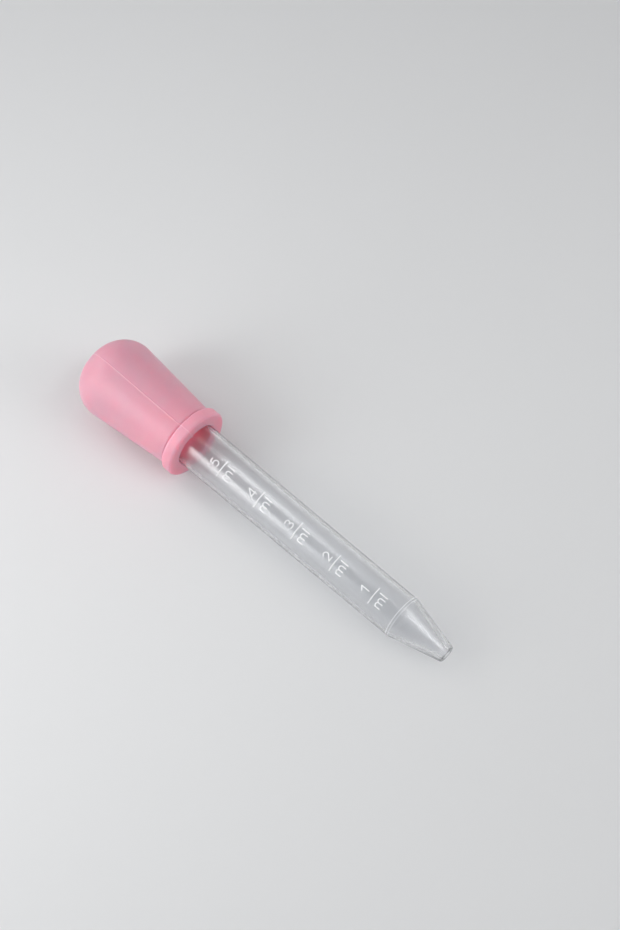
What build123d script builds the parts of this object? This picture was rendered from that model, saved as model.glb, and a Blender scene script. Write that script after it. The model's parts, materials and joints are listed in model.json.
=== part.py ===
from build123d import *
from math import asin, atan2, cos, degrees, sin, sqrt
import os

# Liquid dropper: a clear graduated barrel with a soft squeeze bulb pushed over its open end.
#
# The dropper lies on its side, as it comes to rest: on the widest ring of the bulb and on the
# front edge of the bulb's collar, so its tip points a little downwards and hangs clear.
# +X runs along the dropper towards the tip and +Z is up.  The origin is on the surface that the
# dropper lies on, under the middle of its length.  All sizes are in millimetres.
#
# Each piece is turned about the dropper's own axis.  Its half outline is drawn as (length, radius),
# with the length counted from the mouth of the bulb: positive towards the tip, negative inside.

# Barrel: a clear tube that narrows slightly down to a conical nose
barrel_radius = 6.1          # outside, at the mouth of the bulb
foot_radius = 5.75           # outside, where the nose begins
barrel_length = 69.2         # from the mouth of the bulb to the nose
barrel_wall = 0.85
barrel_seat = 10.0           # length of barrel held inside the bulb
nose_length = 14.1
tip_radius = 2.25            # outside, at the end of the nose
tip_round = 0.5
outlet_radius = 1.15
outlet_length = 2.0          # straight bore at the end of the nose

# Scale: raised lines moulded across the barrel
line_count = 5
first_line = 11.4            # from the mouth of the bulb to the middle of the first line
line_pitch = 12.55
line_width = 0.4
line_height = 0.2            # above the barrel's surface
line_root = 0.2              # below it, so that the line is one with the wall
line_span = 48.0             # degrees around the barrel
line_turn = 26.0             # degrees from the top of the barrel to the middle of each line

# Bulb: a thick skin that widens from its neck to a rounded end
bulb_length = 36.5           # from the mouth to the far end
bulb_radius = 11.1           # at the widest ring
bulb_round = 8.1             # rounding between the side and the end
dome_radius = 30.0           # crown of the end
bulb_wall = 2.2
neck_radius = 8.7            # outside, just behind the collar
collar_radius = 9.75
collar_length = 3.2
collar_round = 0.7
lip_round = 0.4              # inner edge of the mouth
seat_clearance = 0.0         # the stretched bulb grips the barrel
socket_spare = 2.0           # straight bore left past the end of the barrel

# Arcs at the end of the bulb: a dome centred on the axis, and a round that runs into it
dome_centre = Vector(dome_radius - bulb_length, 0)
round_height = bulb_radius - bulb_round
round_reach = sqrt((dome_radius - bulb_round) ** 2 - round_height**2)
round_centre = dome_centre + Vector(-round_reach, round_height)
dome_to_round = (round_centre - dome_centre).normalized()

# The side of the bulb leaves the neck and meets the round without a corner
neck = Vector(-collar_length, neck_radius)
neck_to_round = round_centre - neck
side_angle = atan2(neck_to_round.Y, neck_to_round.X) - asin(bulb_round / neck_to_round.length)
side_out = Vector(sin(side_angle), -cos(side_angle))


def barrel_outside(length):
    """Outer radius of the barrel at a length from the mouth of the bulb."""
    return barrel_radius + (foot_radius - barrel_radius) * length / barrel_length


def side_at(length, inset):
    """Point on the side of the bulb at a length, `inset` under its outer skin."""
    along = (round_centre.X - length) * side_out.X / side_out.Y
    return (length, round_centre.Y + along + (bulb_round - inset) / side_out.Y)


def draw_bulb(start, inset):
    """Half outline of the bulb from the length `start` to its far end, `inset` under its skin."""
    side_end = round_centre + side_out * (bulb_round - inset)
    round_end = dome_centre + dome_to_round * (dome_radius - inset)
    far_end = dome_centre - Vector(dome_radius - inset, 0)
    side = Line(side_at(start, inset), side_end)
    turn = TangentArc(side_end, round_end, tangent=side % 1)
    TangentArc(round_end, far_end, tangent=turn % 1)
    Polyline(far_end, (start, 0), side_at(start, inset))


def tilt_onto(centre, radius):
    """Tilt, in radians, that lays the dropper on the round of the bulb and on another round edge."""
    step = centre - round_centre
    return atan2(-step.Y, step.X) + asin((bulb_round - radius) / step.length)


# Rest: the dropper tips from the bulb onto the first edge that reaches the surface
nose_end = barrel_length + nose_length
collar_edge = Vector(-collar_round, collar_radius - collar_round)
tip_edge = Vector(nose_end - tip_round, tip_radius - tip_round)
rest_tilt = min(
    tilt_onto(collar_edge, collar_round),
    tilt_onto(Vector(barrel_length, foot_radius), 0),
    tilt_onto(tip_edge, tip_round),
)
mouth_height = round_centre.X * sin(rest_tilt) + round_centre.Y * cos(rest_tilt) + bulb_round
reach_back = dome_radius - dome_centre.X * cos(rest_tilt)
reach_front = tip_edge.X * cos(rest_tilt) + tip_edge.Y * sin(rest_tilt) + tip_round

section_plane = Plane(
    origin=((reach_back - reach_front) / 2, 0, mouth_height),
    x_dir=(cos(rest_tilt), 0, -sin(rest_tilt)),
    z_dir=(0, -1, 0),
)
dropper_axis = Axis(section_plane.origin, section_plane.x_dir)

# Bulb -------------------------------------------------------------------------------------------
socket_end = -barrel_seat - socket_spare

with BuildPart() as bulb:
    with BuildSketch(section_plane):
        with BuildLine():
            draw_bulb(-collar_length / 2, 0)
        make_face()
    revolve(axis=dropper_axis)

    # collar: a rounded band around the mouth
    with BuildSketch(section_plane) as collar:
        with BuildLine():
            Polyline(
                (0, 0),
                (0, collar_radius),
                (-collar_length, collar_radius),
                (-collar_length, 0),
                close=True,
            )
        make_face()
        fillet(collar.vertices().group_by(Axis.Y)[-1], collar_round)
    revolve(axis=dropper_axis)

    # hollow, and the socket that grips the barrel
    with BuildSketch(section_plane):
        with BuildLine():
            draw_bulb(socket_end, bulb_wall)
        make_face()
    revolve(axis=dropper_axis, mode=Mode.SUBTRACT)
    with BuildSketch(section_plane):
        with BuildLine():
            Polyline(
                (0, 0),
                (0, barrel_outside(0) + seat_clearance),
                (socket_end, barrel_outside(socket_end) + seat_clearance),
                (socket_end, 0),
                close=True,
            )
        make_face()
    revolve(axis=dropper_axis, mode=Mode.SUBTRACT)

    mouth = bulb.edges().filter_by(GeomType.CIRCLE).sort_by(dropper_axis)[-2:].sort_by(SortBy.RADIUS)
    fillet(mouth[0], lip_round)

bulb.part.label = "bulb"

# Barrel -----------------------------------------------------------------------------------------
with BuildPart() as barrel:
    with BuildSketch(section_plane) as wall:
        with BuildLine():
            Polyline(
                (-barrel_seat, barrel_outside(-barrel_seat)),
                (barrel_length, foot_radius),
                (nose_end, tip_radius),
                (nose_end, outlet_radius),
                (nose_end - outlet_length, outlet_radius),
                (barrel_length, foot_radius - barrel_wall),
                (-barrel_seat, barrel_outside(-barrel_seat) - barrel_wall),
                close=True,
            )
        make_face()
        fillet(wall.vertices().group_by(Axis.X)[-1].sort_by(Axis.Y)[-1], tip_round)
    revolve(axis=dropper_axis)

    # scale lines
    first_edge = section_plane.rotated((line_turn - line_span / 2, 0, 0))
    for line in range(line_count):
        middle = first_line + line * line_pitch
        with BuildSketch(first_edge):
            with BuildLine():
                Polyline(
                    (middle - line_width / 2, barrel_outside(middle - line_width / 2) - line_root),
                    (middle - line_width / 2, barrel_outside(middle - line_width / 2) + line_height),
                    (middle + line_width / 2, barrel_outside(middle + line_width / 2) + line_height),
                    (middle + line_width / 2, barrel_outside(middle + line_width / 2) - line_root),
                    close=True,
                )
            make_face()
        revolve(axis=dropper_axis, revolution_arc=line_span)

barrel.part.label = "barrel"

# Output -----------------------------------------------------------------------------------------
os.makedirs("parts", exist_ok=True)
export_step(bulb.part, "parts/bulb.step")
export_step(barrel.part, "parts/barrel.step")

print(f"rest tilt {degrees(rest_tilt):.2f} degrees, length {reach_back + reach_front:.1f} mm")
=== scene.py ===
"""A liquid dropper dressed over its frame: a clear graduated barrel and a soft squeeze bulb.

Where nothing else is said, sizes are in millimetres, measured along the dropper from the mouth of
its bulb and out from its axis, and turns are in degrees from the top of the dropper.  Lay turns
them into places in the frame.
"""
import json
import logging
from collections.abc import Callable, Sequence
from dataclasses import dataclass
from enum import Enum
from math import acos, asin, atan2, cos, degrees, exp, hypot, pi, radians, sin, sqrt, tan

import bpy
from bpy.types import ID, Light, Material, Mesh, Node, NodeSocket, NodeTree, Object
from mathutils import Matrix, Vector


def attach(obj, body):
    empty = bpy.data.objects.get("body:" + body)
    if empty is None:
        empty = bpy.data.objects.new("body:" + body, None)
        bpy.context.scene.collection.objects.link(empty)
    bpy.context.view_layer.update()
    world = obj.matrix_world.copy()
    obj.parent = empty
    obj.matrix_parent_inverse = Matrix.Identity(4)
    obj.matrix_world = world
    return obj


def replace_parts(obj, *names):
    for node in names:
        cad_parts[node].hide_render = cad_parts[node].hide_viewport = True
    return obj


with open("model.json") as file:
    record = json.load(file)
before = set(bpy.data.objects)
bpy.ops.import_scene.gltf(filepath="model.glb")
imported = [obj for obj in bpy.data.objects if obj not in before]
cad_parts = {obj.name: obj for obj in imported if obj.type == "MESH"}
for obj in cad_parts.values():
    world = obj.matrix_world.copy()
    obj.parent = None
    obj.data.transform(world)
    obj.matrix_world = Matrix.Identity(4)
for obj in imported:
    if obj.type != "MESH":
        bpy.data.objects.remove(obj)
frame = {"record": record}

log = logging.getLogger("dropper")

MM = 0.001
POLE_RADIUS = 1e-6  # mm; a point of an outline that is nearer to the axis becomes a pole

Point = tuple[float, float]
Colour = tuple[float, float, float, float]


# Where things go ------------------------------------------------------------------


@dataclass(frozen=True)
class Lay:
    """How the dropper lies in the frame: its axis, and the middle of the bulb's mouth."""

    mouth: Vector
    axis: Vector
    up: Vector

    @classmethod
    def from_outlet(cls, record: dict, outlet_middle: float) -> "Lay":
        """Finds the lay from the outlet that the record states.

        Args:
            record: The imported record.
            outlet_middle: Length from the bulb's mouth to the middle of the outlet, in mm.

        Returns:
            The dropper's lay.
        """
        outlet = next(mount for mount in record["mounts"] if mount["name"] == "outlet")
        axis = Vector(outlet["axis"]).normalized()
        up = (Vector((0, 0, 1)) - axis * axis.z).normalized()
        return cls(Vector(outlet["pos_m"]) - axis * outlet_middle * MM, axis, up)

    @property
    def side(self) -> Vector:
        """Direction towards which turns are counted."""
        return self.axis.cross(self.up)

    @property
    def tilt(self) -> float:
        """Angle of the axis below level, in radians."""
        return -asin(self.axis.z)

    def out(self, turn: float) -> Vector:
        """Direction out from the axis at a turn."""
        return self.up * cos(radians(turn)) + self.side * sin(radians(turn))

    def at(self, length: float, radius: float, turn: float) -> Vector:
        """Point in the frame, in metres, from a length, a radius and a turn."""
        return self.mouth + self.axis * length * MM + self.out(turn) * radius * MM


def put(name: str, data: ID) -> Object:
    """Makes an object of some data and puts it into the scene.

    Args:
        name: Its name.
        data: Its mesh, curve, light or camera.

    Returns:
        The object.
    """
    made = bpy.data.objects.new(name, data)
    bpy.context.scene.collection.objects.link(made)
    return made


# Outlines and turned shells -------------------------------------------------------


@dataclass(frozen=True)
class Corner:
    """A corner of an outline, as length and radius, and how much it is rounded."""

    length: float
    radius: float
    round: float = 0.0


def arc(centre: Point, radius: float, start: float, end: float, steps: int) -> list[Point]:
    """Draws an arc of an outline.

    Args:
        centre: Its centre, as length and radius.
        radius: Its radius.
        start: Angle of its first point, in radians from the dropper's axis.
        end: Angle of its last point.
        steps: Number of spans.

    Returns:
        Its points in order, ends included.
    """
    angles = [start + (end - start) * step / steps for step in range(steps + 1)]
    return [(centre[0] + radius * cos(a), centre[1] + radius * sin(a)) for a in angles]


def rounded(corners: Sequence[Corner], steps: int = 7) -> list[Point]:
    """Rounds the corners of an open outline.

    Args:
        corners: Its corners in order; the first and the last stay sharp.
        steps: Number of spans in each rounding.

    Returns:
        The outline's points in order.
    """
    points: list[Point] = [(corners[0].length, corners[0].radius)]
    for before, here, after in zip(corners, corners[1:], corners[2:]):
        spot = Vector((here.length, here.radius))
        back = (Vector((before.length, before.radius)) - spot).normalized()
        on = (Vector((after.length, after.radius)) - spot).normalized()
        bend = back.angle(on)
        if here.round <= 0:
            points.append(tuple(spot))
            continue
        centre = spot + (back + on).normalized() * here.round / sin(bend / 2)
        first = spot + back * here.round / tan(bend / 2) - centre
        last = spot + on * here.round / tan(bend / 2) - centre
        start, sweep = atan2(first.y, first.x), first.angle_signed(last)
        points += arc(tuple(centre), here.round, start, start - sweep, steps)
    points.append((corners[-1].length, corners[-1].radius))
    return points


def spread(points: Sequence[Point], longest: float) -> list[Point]:
    """Divides the straight stretches of an outline.

    Args:
        points: The outline's points in order.
        longest: About how long a stretch may be.

    Returns:
        The points, with those that divide the stretches.
    """
    result: list[Point] = [points[0]]
    for (l0, r0), (l1, r1) in zip(points, points[1:]):
        parts = max(1, round(hypot(l1 - l0, r1 - r0) / longest))
        result += [
            (l0 + (l1 - l0) * n / parts, r0 + (r1 - r0) * n / parts) for n in range(1, parts + 1)
        ]
    return result


def facing(outline: Sequence[Point], closed: bool) -> list[Point]:
    """Finds the directions out of an outline that has its solid on the right.

    Args:
        outline: The outline's points in order.
        closed: Whether the last point joins the first.

    Returns:
        A direction of length one for each point.
    """
    count = len(outline)
    result: list[Point] = []
    for n in range(count):
        before = outline[n - 1] if n or closed else outline[0]
        after = outline[(n + 1) % count] if n < count - 1 or closed else outline[-1]
        along, across = after[0] - before[0], after[1] - before[1]
        size = hypot(along, across)
        result.append((-across / size, along / size))
    return result


def turned(
    name: str,
    outline: Sequence[Point],
    turns: Sequence[float],
    lay: Lay,
    closed: bool,
    proud: Callable[[float, float, float], float] = lambda length, radius, turn: 0.0,
) -> Object:
    """Turns an outline into a shell around the dropper's axis.

    Args:
        name: Name of the piece.
        outline: Points as length and radius; a point on the axis becomes a pole.
        turns: Turns at which the outline is placed, in order, once around.
        lay: How the dropper lies.
        closed: Whether the last point joins the first.
        proud: Height in mm by which a point stands out from the turned surface, from its length,
            its radius and its turn.

    Returns:
        The shell, with its faces pointing outwards.
    """
    vertices: list[Vector] = []
    rings: list[list[int]] = []
    for (length, radius), (along, across) in zip(outline, facing(outline, closed)):
        start = len(vertices)
        if radius < POLE_RADIUS:
            vertices.append(lay.at(length, 0, 0))
            rings.append([start] * len(turns))
            continue
        for turn in turns:
            height = proud(length, radius, turn)
            vertices.append(lay.at(length + along * height, radius + across * height, turn))
        rings.append(list(range(start, len(vertices))))
    pairs = list(zip(rings, rings[1:])) + ([(rings[-1], rings[0])] if closed else [])
    faces = []
    for near, far in pairs:
        for n in range(len(turns)):
            m = (n + 1) % len(turns)
            corners = dict.fromkeys((near[n], near[m], far[m], far[n]))  # three beside a pole
            if len(corners) > 2:
                faces.append(tuple(corners))
    mesh = bpy.data.meshes.new(name)
    mesh.from_pydata(vertices, [], faces)
    mesh.validate()
    face_outwards(mesh)
    mesh.shade_smooth()
    return put(name, mesh)


def face_outwards(mesh: Mesh) -> None:
    """Makes the faces of a closed mesh point outwards, by the sign of its volume.

    Args:
        mesh: The mesh, whose faces all point the same way.
    """
    mesh.calc_loop_triangles()
    volume = sum(
        mesh.vertices[t.vertices[0]].co.dot(
            mesh.vertices[t.vertices[1]].co.cross(mesh.vertices[t.vertices[2]].co)
        )
        for t in mesh.loop_triangles
    )
    if volume < 0:
        mesh.flip_normals()


def even_turns(count: int) -> list[float]:
    """Turns that divide a full circle evenly."""
    return [360 * n / count for n in range(count)]


# Node trees -----------------------------------------------------------------------


class Bench:
    """Adds and joins the nodes of one tree."""

    def __init__(self, tree: NodeTree) -> None:
        """Takes the tree to work on."""
        self.tree = tree

    def add(self, kind: str, settings: dict | None = None, **inputs: object) -> Node:
        """Adds a node.

        Args:
            kind: Its type, such as ShaderNodeMath.
            settings: Its properties by name.
            inputs: Its inputs by name, with spaces as underscores, or by number as i0, i1 and so
                on. Each takes a value, or a socket to join.

        Returns:
            The node.
        """
        node = self.tree.nodes.new(kind)
        for key, value in (settings or {}).items():
            setattr(node, key, value)
        for key, value in inputs.items():
            numbered = key[0] == "i" and key[1:].isdigit()
            socket = node.inputs[int(key[1:]) if numbered else key.replace("_", " ")]
            self.feed(socket, value)
        return node

    def feed(self, socket: NodeSocket, value: object) -> None:
        """Joins a socket to an input, or sets the input's value.

        Args:
            socket: The input.
            value: The socket to join, or the value.
        """
        if isinstance(value, NodeSocket):
            self.tree.links.new(value, socket)
        else:
            socket.default_value = value

    def group(self, tree: NodeTree, **inputs: object) -> Node:
        """Adds a shader group with its own values."""
        return self.add("ShaderNodeGroup", {"node_tree": tree}, **inputs)

    def math(self, operation: str, a: object, b: object = 0.0) -> NodeSocket:
        """Adds a sum on numbers and gives its result."""
        node = self.add("ShaderNodeMath", {"operation": operation}, i0=a, i1=b)
        return node.outputs[0]

    def vector(self, operation: str, a: object, **others: object) -> NodeSocket:
        """Adds a sum on vectors and gives its result: a number for a dot product."""
        node = self.add("ShaderNodeVectorMath", {"operation": operation}, i0=a, **others)
        return node.outputs["Value" if operation == "DOT_PRODUCT" else "Vector"]

    def fade(self, value: object, low: float, high: float, to_low: float = 0.0,
             to_high: float = 1.0) -> NodeSocket:
        """Adds a smooth change from one number to another.

        Args:
            value: The value that it follows.
            low: The value at which it starts.
            high: The value at which it ends.
            to_low: The number up to its start.
            to_high: The number from its end on.

        Returns:
            The changing number.
        """
        node = self.add(
            "ShaderNodeMapRange", {"interpolation_type": "SMOOTHSTEP"}, Value=value,
            From_Min=low, From_Max=high, To_Min=to_low, To_Max=to_high,
        )
        return node.outputs["Result"]

    def blend(self, factor: object, a: object, b: object) -> NodeSocket:
        """Adds a mix of two colours and gives the result."""
        node = self.add("ShaderNodeMix", {"data_type": "RGBA"}, i0=factor, i6=a, i7=b)
        return node.outputs[2]


class Kind(Enum):
    """Kinds of socket in a node group."""

    NUMBER = "NodeSocketFloat"
    COUNT = "NodeSocketInt"
    VECTOR = "NodeSocketVector"
    OBJECT = "NodeSocketObject"
    MATERIAL = "NodeSocketMaterial"
    SHAPE = "NodeSocketGeometry"


def node_group(
    name: str, tree_type: str, inputs: dict[str, Kind], outputs: dict[str, Kind]
) -> tuple[NodeTree, Bench, Node, Node]:
    """Starts a node group with named sockets.

    Args:
        name: Its name.
        tree_type: ShaderNodeTree or GeometryNodeTree.
        inputs: Its inputs and their kinds.
        outputs: Its outputs and their kinds.

    Returns:
        The group, a bench for it, and its input and output nodes.
    """
    tree = bpy.data.node_groups.new(name, tree_type)
    for label, kind in inputs.items():
        tree.interface.new_socket(label, in_out="INPUT", socket_type=kind.value)
    for label, kind in outputs.items():
        tree.interface.new_socket(label, in_out="OUTPUT", socket_type=kind.value)
    bench = Bench(tree)
    return tree, bench, bench.add("NodeGroupInput"), bench.add("NodeGroupOutput")


class Effects:
    """Shader groups that the finishes place, each with its own values."""

    def __init__(self) -> None:
        """Builds each group once."""
        self.grain = self._grain()
        self.specks = self._specks()
        self.plane = self._plane()

    @staticmethod
    def _grain() -> NodeTree:
        """Makes the uneven tone and fine relief of a moulded skin, drawn out along X if wished.

        Returns:
            The group.
        """
        tree, bench, given, result = node_group(
            "moulded_grain", "ShaderNodeTree",
            {"Vector": Kind.VECTOR, "Stretch": Kind.VECTOR, "Tone Scale": Kind.NUMBER,
             "Grain Scale": Kind.NUMBER},
            {"Tone": Kind.NUMBER, "Relief": Kind.NUMBER},
        )
        place = bench.vector("MULTIPLY", given.outputs["Vector"], i1=given.outputs["Stretch"])
        tone = bench.add(
            "ShaderNodeTexNoise", Vector=place, Scale=given.outputs["Tone Scale"], Detail=3.0,
            Roughness=0.55,
        )
        grain = bench.add(
            "ShaderNodeTexNoise", Vector=place, Scale=given.outputs["Grain Scale"], Detail=4.0,
            Roughness=0.6,
        )
        bench.feed(result.inputs["Tone"], bench.fade(tone.outputs[0], 0.3, 0.7))
        bench.feed(result.inputs["Relief"], grain.outputs[0])
        return tree

    @staticmethod
    def _specks() -> NodeTree:
        """Makes scattered dust: a mask of small round specks of uneven size.

        Returns:
            The group.
        """
        largest, soft_edge = 0.16, 0.05
        tree, bench, given, result = node_group(
            "dust_specks", "ShaderNodeTree",
            {"Vector": Kind.VECTOR, "Scale": Kind.NUMBER, "Share": Kind.NUMBER},
            {"Mask": Kind.NUMBER},
        )
        cells = bench.add(
            "ShaderNodeTexVoronoi", {"feature": "F1"}, Vector=given.outputs["Vector"],
            Scale=given.outputs["Scale"], Randomness=1.0,
        )
        draw = bench.add("ShaderNodeSeparateColor", i0=cells.outputs["Color"])
        shown = bench.math("LESS_THAN", draw.outputs[0], given.outputs["Share"])
        size = bench.math("MULTIPLY", draw.outputs[1], largest)
        edge = bench.math("SUBTRACT", size, cells.outputs["Distance"])
        spot = bench.fade(edge, 0.0, soft_edge)
        bench.feed(result.inputs["Mask"], bench.math("MULTIPLY", spot, shown))
        return tree

    @staticmethod
    def _plane() -> NodeTree:
        """Makes the mask of what lies close to a plane: 1 on it, falling to 0 over a reach.

        Returns:
            The group.
        """
        tree, bench, given, result = node_group(
            "near_plane", "ShaderNodeTree",
            {"Vector": Kind.VECTOR, "Point": Kind.VECTOR, "Normal": Kind.VECTOR,
             "Reach": Kind.NUMBER},
            {"Mask": Kind.NUMBER},
        )
        offset = bench.vector("SUBTRACT", given.outputs["Vector"], i1=given.outputs["Point"])
        away = bench.vector("DOT_PRODUCT", offset, i1=given.outputs["Normal"])
        share = bench.math("DIVIDE", bench.math("ABSOLUTE", away), given.outputs["Reach"])
        bench.feed(result.inputs["Mask"], bench.fade(share, 0.0, 1.0, 1.0, 0.0))
        return tree


def new_material(name: str) -> tuple[Material, Bench, NodeSocket]:
    """Starts a material.

    Args:
        name: Its name.

    Returns:
        The material, a bench for it, and the Object coordinates.
    """
    material = bpy.data.materials.new(name)
    material.use_nodes = True
    material.node_tree.nodes.clear()
    bench = Bench(material.node_tree)
    return material, bench, bench.add("ShaderNodeTexCoord").outputs["Object"]


@dataclass(frozen=True)
class SiliconeFinish:
    """Satin pink silicone, a little translucent, with a paler parting line.

    Inside the socket it is painted a deeper red, painted shade that stands for the light bounced
    about in the hollow, and a weak glow there stands in for the light that soaks through the wall.
    """

    deep: Colour = (0.775, 0.345, 0.435, 1)
    light: Colour = (0.790, 0.357, 0.447, 1)
    tone_scale: float = 140.0
    roughness: Point = (0.47, 0.50)
    grain_scale: float = 2600.0
    grain_height: float = 0.02
    grain_strength: float = 0.25
    soak_reach: tuple[float, float, float] = (1.0, 0.25, 0.28)
    soak_scale: float = 0.008

    seam: Colour = (0.93, 0.56, 0.64, 1)
    seam_reach: float = 0.16
    seam_cover: float = 0.55

    dust: Colour = (0.95, 0.78, 0.80, 1)
    dust_scale: float = 1500.0
    dust_share: float = 0.03
    dust_cover: float = 0.5

    # painted shade: the socket's inside is painted a deeper red for light bounced about in the
    # hollow
    inside: Colour = (0.95, 0.22, 0.31, 1)
    inside_edge: float = 0.4     # past the radius of the socket
    inside_depth: float = 2.5    # from the mouth to where the colour is full
    inside_stop: float = 1.0     # in front of the end of the socket
    # painted light: a glow that stands in for light soaking through the wall
    glow: Colour = (0.34, 0.055, 0.09, 1)
    glow_depths: Point = (1.8, 5.4)    # from the mouth to where it starts, and is full

    def _socket(self, bench: Bench, place: NodeSocket, lay: Lay, radius: float,
                depth: float) -> tuple[NodeSocket, NodeSocket]:
        """Adds the masks of the socket.

        Args:
            bench: The bench for the material.
            place: The Object coordinates.
            lay: How the dropper lies.
            radius: Radius of the socket's mouth.
            depth: Depth of the socket.

        Returns:
            The mask of its deeper colour, and the mask of its glow.
        """
        offset = bench.vector("SUBTRACT", place, i1=lay.mouth)
        along = bench.vector("DOT_PRODUCT", offset, i1=lay.axis)
        across = bench.vector("CROSS_PRODUCT", offset, i1=lay.axis)
        away = bench.add("ShaderNodeVectorMath", {"operation": "LENGTH"}, i0=across)
        near_axis = bench.fade(
            away.outputs["Value"], radius * MM, (radius + self.inside_edge) * MM, 1.0, 0.0
        )
        before_end = bench.fade(along, -depth * MM, (self.inside_stop - depth) * MM)
        past_mouth = bench.fade(along, -self.inside_depth * MM, 0.0, 1.0, 0.0)
        painted_socket_shade = bench.math("MULTIPLY", near_axis, before_end)
        painted_socket_shade = bench.math("MULTIPLY", painted_socket_shade, past_mouth)
        start, full = self.glow_depths
        deep = bench.fade(along, -full * MM, -start * MM, 1.0, 0.0)
        return painted_socket_shade, bench.math("MULTIPLY", painted_socket_shade, deep)

    def material(self, effects: Effects, lay: Lay, seam_turn: float, socket_radius: float,
                 socket_depth: float) -> Material:
        """Builds the material.

        Args:
            effects: The shader groups.
            lay: How the dropper lies.
            seam_turn: Turn of the parting line.
            socket_radius: Radius of the socket's mouth.
            socket_depth: Depth of the socket.

        Returns:
            The material.
        """
        material, bench, place = new_material("satin_pink_silicone")
        skin = bench.group(
            effects.grain, Vector=place, Stretch=(1, 1, 1), Tone_Scale=self.tone_scale,
            Grain_Scale=self.grain_scale,
        )
        seam = bench.group(
            effects.plane, Vector=place, Point=lay.mouth, Normal=lay.out(seam_turn + 90),
            Reach=self.seam_reach * MM,
        )
        dust = bench.group(
            effects.specks, Vector=place, Scale=self.dust_scale, Share=self.dust_share
        )
        painted_socket_shade, lit = self._socket(bench, place, lay, socket_radius, socket_depth)
        seamed = bench.math("MULTIPLY", seam.outputs[0], self.seam_cover)
        dusty = bench.math("MULTIPLY", dust.outputs[0], self.dust_cover)
        colour = bench.blend(skin.outputs["Tone"], self.deep, self.light)
        # painted shade: the deeper red inside the socket, where light bounces about in the hollow
        colour = bench.blend(painted_socket_shade, colour, self.inside)
        colour = bench.blend(seamed, colour, self.seam)
        colour = bench.blend(dusty, colour, self.dust)
        bump = bench.add(
            "ShaderNodeBump", Strength=self.grain_strength, Distance=self.grain_height * MM,
            Height=skin.outputs["Relief"],
        )
        # the emission paints a weak glow inside the socket, for light that soaks through the wall
        shader = bench.add(
            "ShaderNodeBsdfPrincipled", {"subsurface_method": "RANDOM_WALK"}, Base_Color=colour,
            Roughness=bench.fade(skin.outputs["Tone"], 0.0, 1.0, *self.roughness), IOR=1.5,
            Specular_IOR_Level=0.7, Subsurface_Weight=1.0, Subsurface_Radius=self.soak_reach,
            Subsurface_Scale=self.soak_scale, Emission_Strength=1.0,
            Emission_Color=bench.blend(lit, (0, 0, 0, 1), self.glow), Normal=bump.outputs[0],
        )
        bench.add("ShaderNodeOutputMaterial", Surface=shader.outputs[0])
        return material


@dataclass(frozen=True)
class ClearFinish:
    """Clear moulded plastic with a slight haze, drawn-out flow marks and a little dust."""

    name: str
    tint: Colour
    transmission: float
    roughness: Point
    ior: float = 1.5
    flow_stretch: float = 0.12
    tone_scale: float = 420.0
    grain_scale: float = 900.0
    grain_height: float = 0.004
    grain_strength: float = 0.02
    dust_scale: float = 900.0
    dust_share: float = 0.02
    dust_roughness: float = 0.35
    light_through: float = 0.9

    def material(self, effects: Effects, lay: Lay) -> Material:
        """Builds the material.

        Shadow rays and diffuse rays pass almost straight through it, so that what lies under or
        inside it is lit.

        Args:
            effects: The shader groups.
            lay: How the dropper lies.

        Returns:
            The material.
        """
        material, bench, place = new_material(self.name)
        level = bench.add(
            "ShaderNodeMapping", {"vector_type": "POINT"}, Vector=place,
            Rotation=(0, -lay.tilt, 0),
        )
        skin = bench.group(
            effects.grain, Vector=level.outputs[0], Stretch=(self.flow_stretch, 1, 1),
            Tone_Scale=self.tone_scale, Grain_Scale=self.grain_scale,
        )
        dust = bench.group(
            effects.specks, Vector=place, Scale=self.dust_scale, Share=self.dust_share
        )
        dusty = bench.math("MULTIPLY", dust.outputs[0], self.dust_roughness)
        rough = bench.fade(skin.outputs["Tone"], 0.0, 1.0, *self.roughness)
        bump = bench.add(
            "ShaderNodeBump", Strength=self.grain_strength, Distance=self.grain_height * MM,
            Height=skin.outputs["Relief"],
        )
        shader = bench.add(
            "ShaderNodeBsdfPrincipled", Base_Color=self.tint, IOR=self.ior,
            Roughness=bench.math("ADD", rough, dusty), Transmission_Weight=self.transmission,
            Normal=bump.outputs[0],
        )
        straight = bench.add("ShaderNodeBsdfTransparent", Color=self.tint)
        ray = bench.add("ShaderNodeLightPath").outputs
        lighting = bench.math("MAXIMUM", ray["Is Shadow Ray"], ray["Is Diffuse Ray"])
        mixed = bench.add(
            "ShaderNodeMixShader", i0=bench.math("MULTIPLY", lighting, self.light_through),
            i1=shader.outputs[0], i2=straight.outputs[0],
        )
        bench.add("ShaderNodeOutputMaterial", Surface=mixed.outputs[0])
        return material


@dataclass(frozen=True)
class FloorFinish:
    """Plain pale matt floor, very slightly uneven in tone."""

    colour: Colour = (0.74, 0.745, 0.75, 1)
    shade: Colour = (0.73, 0.735, 0.74, 1)
    tone_scale: float = 6.0
    roughness: float = 0.75

    def material(self, effects: Effects) -> Material:
        """Builds the material.

        Args:
            effects: The shader groups.

        Returns:
            The material.
        """
        material, bench, place = new_material("pale_floor")
        skin = bench.group(
            effects.grain, Vector=place, Stretch=(1, 1, 1), Tone_Scale=self.tone_scale
        )
        shader = bench.add(
            "ShaderNodeBsdfPrincipled", Roughness=self.roughness,
            Base_Color=bench.blend(skin.outputs["Tone"], self.shade, self.colour),
        )
        bench.add("ShaderNodeOutputMaterial", Surface=shader.outputs[0])
        return material


# Pieces ---------------------------------------------------------------------------


def dress(piece: Object, material: Material) -> None:
    """Gives a piece its finish, and sets it on the dropper's body.

    Args:
        piece: The piece.
        material: Its finish.
    """
    piece.data.materials.clear()
    piece.data.materials.append(material)
    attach(piece, "root")
    log.info("%s: %d faces", piece.name, len(piece.data.polygons))


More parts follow.
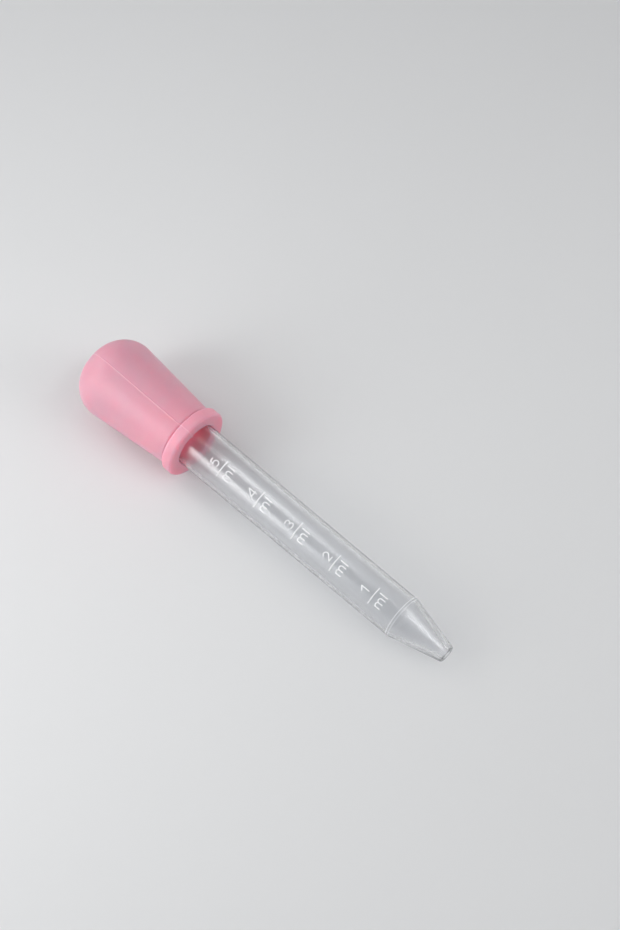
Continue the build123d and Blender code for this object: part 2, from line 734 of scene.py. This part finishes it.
@dataclass
class Bulb:
    """The soft squeeze bulb, with its collar, its hollow and its parting line.

    Its mouth and its socket are a hair wider than the barrel, so that the two skins stay apart.
    """

    length: float = 36.5
    radius: float = 11.1
    end_round: float = 8.1
    end_spans: tuple[int, int] = (14, 26)    # of the dome, and of the round beside it
    dome_radius: float = 30.0
    wall: float = 2.2
    neck_radius: float = 8.7

    crease_depth: float = 0.3
    crease_width: float = 0.7
    crease_foot: float = 0.15    # from the collar to the bottom of the crease
    crease_rounds: tuple[float, float, float] = (0.3, 0.1, 0.05)
    collar_radius: float = 9.75
    collar_length: float = 3.2
    collar_round: float = 0.7

    lip_round: float = 0.4
    mouth_radius: float = 6.14
    mouth_depth: float = 1.5
    mouth_draft: float = 0.01
    throat_depth: float = 2.5    # from the mouth to where the socket has its full width
    throat_round: float = 0.5
    socket_radius: float = 6.2
    socket_length: float = 12.0
    socket_round: float = 0.3
    longest_span: float = 0.8

    seam_turn: float = 14.0
    seam_height: float = 0.11
    seam_width: float = 0.17
    seam_on_collar: float = 0.6    # share of its height that is left there
    seam_stop: float = 1.0    # how far the skin turns in from the side before the line ends
    nick_height: float = 0.28
    nick_width: float = 0.4
    fine_turns: tuple[float, ...] = (
        0, 0.25, 0.5, 0.75, 1, 1.25, 1.5, 1.75, 2, 2.5, 3, 3.5, 4, 5, 6, 7, 8,
    )
    turn_step: float = 2.0

    def _half(self, inset: float) -> tuple[list[Point], Point, Point]:
        """Outline of the closed end, set in under the skin.

        Args:
            inset: How far under the skin.

        Returns:
            The points from the far end to where the side begins, the centre of the round, and
            the direction out from the side.
        """
        dome = (self.dome_radius - self.length, 0.0)
        height = self.radius - self.end_round
        reach = sqrt((self.dome_radius - self.end_round) ** 2 - height**2)
        centre = (dome[0] - reach, height)
        meet = atan2(centre[1] - dome[1], centre[0] - dome[0])
        neck = (-self.collar_length - centre[0], self.neck_radius - centre[1])
        slope = atan2(neck[1], neck[0]) + acos(self.end_round / hypot(*neck))
        dome_spans, round_spans = self.end_spans
        points = arc(dome, self.dome_radius - inset, pi, meet, dome_spans)
        points += arc(centre, self.end_round - inset, meet, slope, round_spans)[1:]
        points[0] = (points[0][0], 0.0)
        return points, centre, (cos(slope), sin(slope))

    def _side(self, length: float, inset: float) -> float:
        """Radius of the side at a length, set in under the skin."""
        _, centre, out = self._half(0)
        return centre[1] + (self.end_round - inset - (length - centre[0]) * out[0]) / out[1]

    def outline(self) -> list[Point]:
        """Draws the outline.

        Returns:
            Its points from the far end, round the collar and the mouth, to the end of the hollow.
        """
        skin, _, _ = self._half(0)
        hollow, _, _ = self._half(self.wall)
        back, deep = -self.collar_length, -self.socket_length
        edge, foot = back - self.crease_width, back - self.crease_foot
        edge_round, foot_round, corner_round = self.crease_rounds
        collar = rounded(
            [
                Corner(*skin[-1]),
                Corner(edge, self._side(edge, 0), edge_round),
                Corner(foot, self._side(back, 0) - self.crease_depth, foot_round),
                Corner(back, self._side(back, 0), corner_round),
                Corner(back, self.collar_radius, self.collar_round),
                Corner(0, self.collar_radius, self.collar_round),
                Corner(0, self.mouth_radius, self.lip_round),
                Corner(-self.mouth_depth, self.mouth_radius + self.mouth_draft, self.throat_round),
                Corner(-self.throat_depth, self.socket_radius, self.throat_round),
                Corner(deep, self.socket_radius, self.socket_round),
                Corner(deep, self._side(deep, self.wall), self.socket_round),
                Corner(*hollow[-1]),
            ]
        )
        return skin[:-1] + spread(collar, self.longest_span) + hollow[-2::-1]

    def turns(self) -> list[float]:
        """Sets the turns around the bulb, close together at the parting line.

        Returns:
            The turns in order, once around.
        """
        near = self.fine_turns
        steps = round((180 - 2 * near[-1]) / self.turn_step)
        far = [near[-1] + self.turn_step * n for n in range(1, steps)]
        half = sorted({-turn for turn in near} | {*near, *far})
        return [self.seam_turn + turn + side for side in (0, 180) for turn in half]

    def proud(self, length: float, radius: float, turn: float) -> float:
        """Works out how high the parting line stands, or the nick that it leaves at the mouth.

        Args:
            length: Length of a point of the turned surface.
            radius: Its radius.
            turn: Its turn.

        Returns:
            The height at the point.
        """
        if length < -self.collar_length and radius < self._side(length, self.seam_stop):
            return 0.0
        turn_off = radians(turn - self.seam_turn)
        away = radius * sin(turn_off)
        if radius < self.mouth_radius + self.lip_round:
            share = (radius - self.mouth_radius) / self.lip_round
            on_lip = share > 0 and length > -self.lip_round and cos(turn_off) > 0
            swell = sin(pi * share) if on_lip else 0.0
            return self.nick_height * swell * exp(-((away / self.nick_width) ** 2))
        ridge = self.seam_height * exp(-((away / self.seam_width) ** 2))
        return ridge * (self.seam_on_collar if length > -self.collar_length else 1.0)

    def build(self, lay: Lay, material: Material) -> Object:
        """Builds the bulb.

        Args:
            lay: How the dropper lies.
            material: Its finish.

        Returns:
            The bulb, which stands for the frame's own.
        """
        piece = turned("squeeze_bulb", self.outline(), self.turns(), lay, False, self.proud)
        dress(piece, material)
        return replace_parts(piece, "bulb")


@dataclass
class Barrel:
    """The clear barrel: a tube that narrows slightly, and a conical nose with a round tip."""

    mouth_radius: float = 6.1
    foot_radius: float = 5.75
    length: float = 69.2
    wall: float = 0.85
    seat: float = 10.0
    nose_length: float = 14.1
    shoulder_round: float = 0.5
    throat_round: float = 1.2    # inside the shoulder
    tip_radius: float = 2.25
    tip_round: float = 0.5
    outlet_radius: float = 1.15
    outlet_length: float = 2.0
    outlet_round: float = 0.15
    outlet_throat_round: float = 0.6
    end_round: float = 0.2    # of the end inside the bulb
    split: float = 20.0    # where the closed outline starts and ends
    longest_span: float = 1.6
    sharp_angle: float = 35.0
    segments: int = 256
    bead_places: tuple[float, float] = (68.8, 69.45)
    bead_sizes: tuple[Point, Point] = ((0.06, 0.03), (0.04, 0.012))    # half width and height
    bead_sides: int = 12

    @property
    def outlet_middle(self) -> float:
        """Length from the bulb's mouth to the middle of the outlet."""
        return self.length + self.nose_length - self.outlet_length / 2

    @property
    def taper(self) -> float:
        """Radius lost per unit of length."""
        return (self.mouth_radius - self.foot_radius) / self.length

    def radius_at(self, length: float) -> float:
        """Works out the outer radius.

        Args:
            length: Length from the bulb's mouth.

        Returns:
            The radius there.
        """
        if length > self.length:
            narrowing = (self.foot_radius - self.tip_radius) / self.nose_length
            return self.foot_radius - narrowing * (length - self.length)
        return self.mouth_radius - self.taper * length

    def outline(self) -> list[Point]:
        """Draws the outline of the wall.

        Returns:
            Its points in order, of which the last joins the first.
        """
        end = self.length + self.nose_length
        upper_radius = self.radius_at(-self.seat)
        split = Corner(self.split, self.radius_at(self.split))
        corners = [
            split,
            Corner(self.length, self.foot_radius, self.shoulder_round),
            Corner(end, self.tip_radius, self.tip_round),
            Corner(end, self.outlet_radius, self.outlet_round),
            Corner(end - self.outlet_length, self.outlet_radius, self.outlet_throat_round),
            Corner(self.length, self.foot_radius - self.wall, self.throat_round),
            Corner(-self.seat, upper_radius - self.wall, self.end_round),
            Corner(-self.seat, upper_radius, self.end_round),
            split,
        ]
        return spread(rounded(corners), self.longest_span)[:-1]

    def build(self, lay: Lay, material: Material) -> Object:
        """Builds the barrel.

        Args:
            lay: How the dropper lies.
            material: Its finish.

        Returns:
            The barrel, which stands for the frame's own.
        """
        piece = turned("clear_barrel", self.outline(), even_turns(self.segments), lay, True)
        piece.data.set_sharp_from_angle(angle=radians(self.sharp_angle))
        dress(piece, material)
        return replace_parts(piece, "barrel")

    def build_beads(self, lay: Lay, material: Material) -> None:
        """Builds the fine beads that the mould leaves around the shoulder.

        Args:
            lay: How the dropper lies.
            material: Their finish.
        """
        angles = [radians(360 / self.bead_sides * step) for step in range(self.bead_sides, 0, -1)]
        beads = zip(self.bead_places, self.bead_sizes)
        for number, (place, (half, height)) in enumerate(beads, start=1):
            foot = self.radius_at(place)
            outline = [(place + half * cos(a), foot + height * sin(a)) for a in angles]
            name = f"shoulder_bead_{number}"
            piece = turned(name, outline, even_turns(self.segments), lay, True)
            dress(piece, material)


# The scale ------------------------------------------------------------------------


def bow(centre: Point, half: Point, start: float, end: float, steps: int = 14) -> list[Point]:
    """Part of an ellipse, from a start angle to an end angle in degrees."""
    angles = [radians(start + (end - start) * step / steps) for step in range(steps + 1)]
    return [(centre[0] + half[0] * cos(a), centre[1] + half[1] * sin(a)) for a in angles]


class Figure(Enum):
    """Strokes of the scale's figures, in a box one wide and one high."""

    ONE = ([(-0.22, 0.7), (0.48, 1.1), (0.48, 0.0)],)
    TWO = (bow((0.5, 0.69), (0.45, 0.31), 165, -28) + [(0.04, 0.0), (0.98, 0.0)],)
    THREE = (
        bow((0.47, 0.755), (0.42, 0.245), 150, -90, 12)
        + bow((0.47, 0.26), (0.5, 0.25), 90, -150, 12),
    )
    FOUR = ([(0.86, -0.1), (0.86, 1.08), (-0.06, 0.26), (1.18, 0.26)],)
    FIVE = (
        [(0.88, 1.0), (0.2, 1.0), (0.12, 0.54)]
        + bow((0.46, 0.33), (0.48, 0.33), 130, -145, 14),
    )


@dataclass
class Scale:
    """Raised lines, figures and unit signs across the barrel, moulded as one with it."""

    figures: tuple[Figure, ...] = (
        Figure.FIVE, Figure.FOUR, Figure.THREE, Figure.TWO, Figure.ONE,
    )
    first_line: float = 11.4
    pitch: float = 12.55
    turn: float = 26.0
    line_half: float = 2.52
    figure_left: float = -0.62
    figure_width: float = 1.53
    figure_foot: float = 1.3
    figure_height: float = 2.28
    unit_top: float = 1.6    # from the line to the feet of the arches of the m
    unit_foot: float = 3.35
    unit_legs: tuple[float, float, float] = (-1.72, -0.55, 0.62)
    arch_rise: float = 1.05    # as a share of half the gap between two legs
    stem_start: float = 0.05    # of the first leg, above the feet of the arches
    tall_stroke: Point = (1.5, 0.78)    # the l: its place, and where it starts
    stroke_width: float = 0.32
    stroke_height: float = 0.17
    sunk: float = 0.03
    sample: float = 0.09

    def figure_strokes(self) -> list[list[Point]]:
        """Draws the figures, laid flat at their places.

        Returns:
            The points of each stroke.
        """
        strokes = []
        for index, figure in enumerate(self.figures):
            foot = self.figure_foot - self.first_line - self.pitch * index
            for stroke in figure.value:
                strokes.append(
                    [
                        (self.figure_left + x * self.figure_width, foot + y * self.figure_height)
                        for x, y in stroke
                    ]
                )
        return strokes

    def unit_strokes(self) -> list[list[Point]]:
        """Draws one line and the ml beside it, laid flat about the line's middle.

        Returns:
            The points of each stroke.
        """
        left, middle, right = self.unit_legs
        half = (middle - left) / 2
        rise = half * self.arch_rise
        tops = [(left + half, -self.unit_top - rise), (middle + half, -self.unit_top - rise)]
        strokes = [[(-self.line_half, 0.0), (0.0, 0.0), (self.line_half, 0.0)]]
        strokes.append([(left, self.stem_start - self.unit_top), (left, -self.unit_foot)])
        for top, leg in zip(tops, (middle, right)):
            strokes.append(bow(top, (half, rise), 180, 0, 12) + [(leg, -self.unit_foot)])
        tall, start = self.tall_stroke
        strokes.append([(tall, -start), (tall, -self.unit_foot)])
        return strokes

    @staticmethod
    def flat_curve(name: str, strokes: Sequence[Sequence[Point]]) -> Object:
        """Makes a flat curve of strokes, in metres.

        Args:
            name: Its name.
            strokes: The points of each stroke, in mm.

        Returns:
            The curve.
        """
        curve = bpy.data.curves.new(name, "CURVE")
        curve.dimensions = "3D"
        for stroke in strokes:
            spline = curve.splines.new("POLY")
            spline.points.add(len(stroke) - 1)
            for point, (x, y) in zip(spline.points, stroke):
                point.co = (x * MM, y * MM, 0, 1)
        return put(name, curve)

    @staticmethod
    def tree() -> NodeTree:
        """Builds the tree that raises flat strokes into beads and wraps them round the barrel.

        Returns:
            The tree.
        """
        tree, bench, given, result = node_group(
            "wrapped_scale", "GeometryNodeTree",
            {"Figures": Kind.SHAPE, "Unit": Kind.OBJECT, "Line Count": Kind.COUNT,
             "First Line": Kind.NUMBER, "Line Pitch": Kind.NUMBER, "Stroke Width": Kind.NUMBER,
             "Stroke Height": Kind.NUMBER, "Sunk": Kind.NUMBER, "Sample": Kind.NUMBER,
             "Mouth Radius": Kind.NUMBER, "Taper": Kind.NUMBER, "Turn": Kind.NUMBER,
             "Mouth": Kind.VECTOR, "Axis": Kind.VECTOR, "Up": Kind.VECTOR, "Side": Kind.VECTOR,
             "Finish": Kind.MATERIAL},
            {"Marks": Kind.SHAPE},
        )
        size = given.outputs
        thinnest, sides = 0.05, 12

        # the line and its unit sign at each place on the scale, and the figures
        first = bench.math("MULTIPLY", size["First Line"], -1.0)
        pitch = bench.math("MULTIPLY", size["Line Pitch"], -1.0)
        start = bench.add("ShaderNodeCombineXYZ", Y=first)
        step = bench.add("ShaderNodeCombineXYZ", Y=pitch)
        spots = bench.add(
            "GeometryNodeMeshLine", Count=size["Line Count"], Start_Location=start.outputs[0],
            Offset=step.outputs[0],
        )
        unit = bench.add("GeometryNodeObjectInfo", Object=size["Unit"])
        lined = bench.add(
            "GeometryNodeInstanceOnPoints", Points=spots.outputs[0],
            Instance=unit.outputs["Geometry"],
        )
        loose = bench.add("GeometryNodeRealizeInstances", Geometry=lined.outputs[0])
        joined = bench.add("GeometryNodeJoinGeometry")
        bench.feed(joined.inputs[0], size["Figures"])
        bench.feed(joined.inputs[0], loose.outputs[0])
        fine = bench.add(
            "GeometryNodeResampleCurve", {"mode": "LENGTH"}, Curve=joined.outputs[0],
            Length=size["Sample"],
        )
        flat = bench.add("GeometryNodeSetCurveNormal", {"mode": "Z_UP"}, Curve=fine.outputs[0])

        # strokes raised into beads with round ends
        along = bench.add("GeometryNodeSplineParameter")
        whole = bench.add("GeometryNodeSplineLength")
        left = bench.math("SUBTRACT", whole.outputs["Length"], along.outputs["Length"])
        end = bench.math("MINIMUM", along.outputs["Length"], left)
        half = bench.math("MULTIPLY", size["Stroke Width"], 0.5)
        inward = bench.math("MINIMUM", bench.math("DIVIDE", end, half), 1.0)
        short = bench.math("SUBTRACT", 1.0, inward)
        square = bench.math("SUBTRACT", 1.0, bench.math("MULTIPLY", short, short))
        swell = bench.math("MAXIMUM", bench.math("SQRT", square), thinnest)
        sized = bench.add("GeometryNodeSetCurveRadius", Curve=flat.outputs[0], Radius=swell)
        ring = bench.add(
            "GeometryNodeCurvePrimitiveCircle", {"mode": "RADIUS"}, Resolution=sides, Radius=1.0
        )
        shape = bench.add("ShaderNodeCombineXYZ", X=half, Y=size["Stroke Height"], Z=1.0)
        bead = bench.add("GeometryNodeTransform", Geometry=ring.outputs[0], Scale=shape.outputs[0])
        raised = bench.add(
            "GeometryNodeCurveToMesh", Curve=sized.outputs[0], Profile_Curve=bead.outputs[0],
            Fill_Caps=True, Scale=bench.add("GeometryNodeInputRadius").outputs[0],
        )

        # flat places wrapped round the barrel, then laid along its axis
        flat_place = bench.add("GeometryNodeInputPosition").outputs[0]
        spot = bench.add("ShaderNodeSeparateXYZ", Vector=flat_place)
        length = bench.math("MULTIPLY", spot.outputs[1], -1.0)
        radius = bench.math(
            "SUBTRACT", size["Mouth Radius"], bench.math("MULTIPLY", length, size["Taper"])
        )
        angle = bench.math("SUBTRACT", size["Turn"], bench.math("DIVIDE", spot.outputs[0], radius))
        far = bench.math("SUBTRACT", bench.math("ADD", radius, spot.outputs[2]), size["Sunk"])
        upward = bench.math("MULTIPLY", far, bench.math("COSINE", angle))
        sideward = bench.math("MULTIPLY", far, bench.math("SINE", angle))
        place = size["Mouth"]
        for direction, amount in (("Axis", length), ("Up", upward), ("Side", sideward)):
            part = bench.vector("SCALE", size[direction], Scale=amount)
            place = bench.vector("ADD", place, i1=part)
        wrapped = bench.add("GeometryNodeSetPosition", Geometry=raised.outputs[0], Position=place)
        smooth = bench.add("GeometryNodeSetShadeSmooth", Geometry=wrapped.outputs[0])
        real = bench.add("GeometryNodeRealizeInstances", Geometry=smooth.outputs[0])
        finished = bench.add(
            "GeometryNodeSetMaterial", Geometry=real.outputs[0], Material=size["Finish"]
        )
        bench.feed(result.inputs["Marks"], finished.outputs[0])
        return tree

    def build(self, lay: Lay, barrel: Barrel, material: Material) -> Object:
        """Builds the scale's marks as one mesh.

        Args:
            lay: How the dropper lies.
            barrel: The barrel that they are moulded on.
            material: Their finish.

        Returns:
            The marks.
        """
        flat = self.flat_curve("flat_figures", self.figure_strokes())
        unit = self.flat_curve("flat_unit", self.unit_strokes())
        modifier = flat.modifiers.new("wrapped_scale", "NODES")
        modifier.node_group = self.tree()
        values = {
            "Unit": unit, "Line Count": len(self.figures), "First Line": self.first_line * MM,
            "Line Pitch": self.pitch * MM, "Stroke Width": self.stroke_width * MM,
            "Stroke Height": self.stroke_height * MM, "Sunk": self.sunk * MM,
            "Sample": self.sample * MM, "Mouth Radius": barrel.mouth_radius * MM,
            "Taper": barrel.taper, "Turn": radians(self.turn), "Mouth": lay.mouth,
            "Axis": lay.axis, "Up": lay.up, "Side": lay.side, "Finish": material,
        }
        for item in modifier.node_group.interface.items_tree:
            if item.in_out == "INPUT" and item.name in values:
                modifier[item.identifier] = values[item.name]
        seen = flat.evaluated_get(bpy.context.evaluated_depsgraph_get())
        mesh = bpy.data.meshes.new_from_object(seen)
        for spent in (flat, unit):
            bpy.data.objects.remove(spent)
        mesh.name = "scale_marks"
        face_outwards(mesh)
        piece = put(mesh.name, mesh)
        dress(piece, material)
        return piece


# The studio -----------------------------------------------------------------------


@dataclass(frozen=True)
class Softbox:
    """A soft light that faces the dropper, fades from a hot place and has soft hems.

    Its place and size are in metres.  Its first side runs along the frame's X before it is
    rolled, and what lies on its face is counted from 0 to 1 along both sides.  A honeycomb
    narrows the spread of its light and leaves its strength straight ahead.  Angles are in
    degrees.
    """

    name: str
    place: tuple[float, float, float]
    size: Point
    glow: float
    hot: Point = (0.5, 0.5)
    reach: Point = (2.0, 2.0)
    hem: Point = (0.3, 0.3)
    roll: float = 0.0
    spread: float = 180.0

    def hang(self) -> None:
        """Hangs the light so that it faces the dropper."""
        lamp = bpy.data.lights.new(self.name, "AREA")
        lamp.shape = "RECTANGLE"
        lamp.size, lamp.size_y = self.size
        lamp.spread = radians(self.spread)
        honeycomb = 1 - lamp.spread / 2 / tan(lamp.spread / 2)  # share of energy that is left
        lamp.energy = self.glow * pi * self.size[0] * self.size[1] * honeycomb
        self._soften(lamp)
        away = Vector(self.place).normalized()
        along = (Vector((1, 0, 0)) - away * away.x).normalized()
        square = Matrix((along, away.cross(along), away)).transposed().to_4x4()
        rolled = Matrix.Rotation(radians(self.roll), 4, "Z")
        made = put(self.name, lamp)
        made.matrix_world = Matrix.Translation(self.place) @ square @ rolled

    def _soften(self, lamp: Light) -> None:
        """Makes the light fall off from its hot place, and fade out along its hems.

        Args:
            lamp: The light.
        """
        lamp.use_nodes = True
        lamp.node_tree.nodes.clear()
        bench = Bench(lamp.node_tree)
        face = bench.add("ShaderNodeNewGeometry").outputs["Parametric"]
        away = bench.vector("SUBTRACT", face, i1=(*self.hot, 0))
        away = bench.vector("DIVIDE", away, i1=(*self.reach, 1))
        away = bench.vector("MULTIPLY", away, i1=(1, 1, 0))
        far = bench.vector("DOT_PRODUCT", away, i1=away)
        glow = bench.math("EXPONENT", bench.math("MULTIPLY", far, -1.0))
        spot = bench.add("ShaderNodeSeparateXYZ", Vector=face)
        for side, hem in zip(spot.outputs, self.hem):
            middle = bench.math("ABSOLUTE", bench.math("SUBTRACT", side, 0.5))
            glow = bench.math("MULTIPLY", glow, bench.fade(middle, 0.5 - hem, 0.5, 1.0, 0.0))
        emission = bench.add("ShaderNodeEmission", Strength=glow)
        bench.add("ShaderNodeOutputLight", Surface=emission.outputs[0])


@dataclass
class Studio:
    """A pale floor, soft light, and the camera.

    Angles are in degrees, the camera's distance, aim and lens in mm, and the floor in metres.
    """

    azimuth: float = 42.5
    elevation: float = 58.7
    distance: float = 416.8
    aim: tuple[float, float, float] = (-2.25, 19.43, 0.0)
    lens: float = 62.3
    floor_size: float = 6.0
    world_colour: Colour = (0.97, 0.98, 1.0, 1)
    world_strength: float = 0.34
    lights: tuple[Softbox, ...] = (
        Softbox(
            "side_softbox", (-0.16, -0.2826, 0.178), (0.30, 0.28), 9.3,
            hot=(0.5, 0.58), reach=(0.29, 0.44), hem=(0.1, 0.2), spread=110.0,
        ),
        Softbox("low_softbox", (-0.20, -0.45, 0.08), (0.80, 0.14), 1.4),
        Softbox("back_softbox", (-0.45, -0.10, 0.35), (0.40, 0.30), 4.1),
        Softbox(
            "top_softbox", (-0.0525, 0.06, 0.335), (0.13, 0.20), 3.2,
            hot=(0.05, 0.47), reach=(0.42, 0.40), hem=(0.001, 0.2),
        ),
        Softbox(
            "nose_softbox", (0.2114, 0.13, 0.32), (0.15, 0.60), 11.0,
            hot=(0.0, 0.25), reach=(0.16, 0.5), hem=(0.001, 0.15), roll=20.0,
        ),
        Softbox("far_softbox", (-0.20, 0.78, 0.06), (0.90, 0.11), 3.0),
        Softbox("front_softbox", (0.70, 0.30, 0.45), (0.60, 0.60), 3.0),
    )

    def floor(self, effects: Effects) -> None:
        """Lays the floor that the dropper rests on.

        Args:
            effects: The shader groups.
        """
        half = self.floor_size / 2
        mesh = bpy.data.meshes.new("floor")
        mesh.from_pydata(
            [(-half, -half, 0), (half, -half, 0), (half, half, 0), (-half, half, 0)], [],
            [(0, 1, 2, 3)],
        )
        mesh.materials.append(FloorFinish().material(effects))
        made = put("floor", mesh)

    def light(self) -> None:
        """Hangs the lights and lights the room evenly."""
        for softbox in self.lights:
            softbox.hang()
        world = bpy.data.worlds.new("room")
        world.use_nodes = True
        background = world.node_tree.nodes["Background"]
        background.inputs["Color"].default_value = self.world_colour
        background.inputs["Strength"].default_value = self.world_strength
        bpy.context.scene.world = world
        bpy.context.scene.view_settings.view_transform = "Standard"

    def camera(self) -> None:
        """Sets up the camera."""
        data = bpy.data.cameras.new("camera")
        data.lens = self.lens
        data.clip_start = 0.01
        made = put("camera", data)
        turn, rise = radians(self.azimuth), radians(self.elevation)
        away = Vector((sin(turn) * cos(rise), -cos(turn) * cos(rise), sin(rise)))
        made.location = (Vector(self.aim) + away * self.distance) * MM
        made.rotation_mode = "QUATERNION"
        made.rotation_quaternion = away.to_track_quat("Z", "Y")
        bpy.context.scene.camera = made

    def build(self, effects: Effects) -> None:
        """Sets up the floor, the light and the camera.

        Args:
            effects: The shader groups.
        """
        self.floor(effects)
        self.light()
        self.camera()


CLEAR = ClearFinish(
    "clear_moulded_plastic", tint=(0.91, 0.915, 0.925, 1), transmission=0.98,
    roughness=(0.16, 0.19),
)
FROSTED = ClearFinish(
    "frosted_moulded_plastic", tint=(0.97, 0.975, 0.98, 1), transmission=0.15,
    roughness=(0.35, 0.45), grain_scale=3000.0,
)


def main() -> None:
    """Builds the dropper and its studio."""
    logging.basicConfig(level=logging.INFO, format="%(name)s: %(message)s")
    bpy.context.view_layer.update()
    effects = Effects()
    bulb, barrel, scale = Bulb(), Barrel(), Scale()
    lay = Lay.from_outlet(frame["record"], barrel.outlet_middle)
    log.info("tilt %.2f degrees", degrees(lay.tilt))
    silicone = SiliconeFinish().material(
        effects, lay, bulb.seam_turn, bulb.mouth_radius, bulb.socket_length
    )
    bulb.build(lay, silicone)
    barrel.build(lay, CLEAR.material(effects, lay))
    frosted = FROSTED.material(effects, lay)
    barrel.build_beads(lay, frosted)
    scale.build(lay, barrel, frosted)
    Studio().build(effects)


if __name__ == "__main__":
    main()
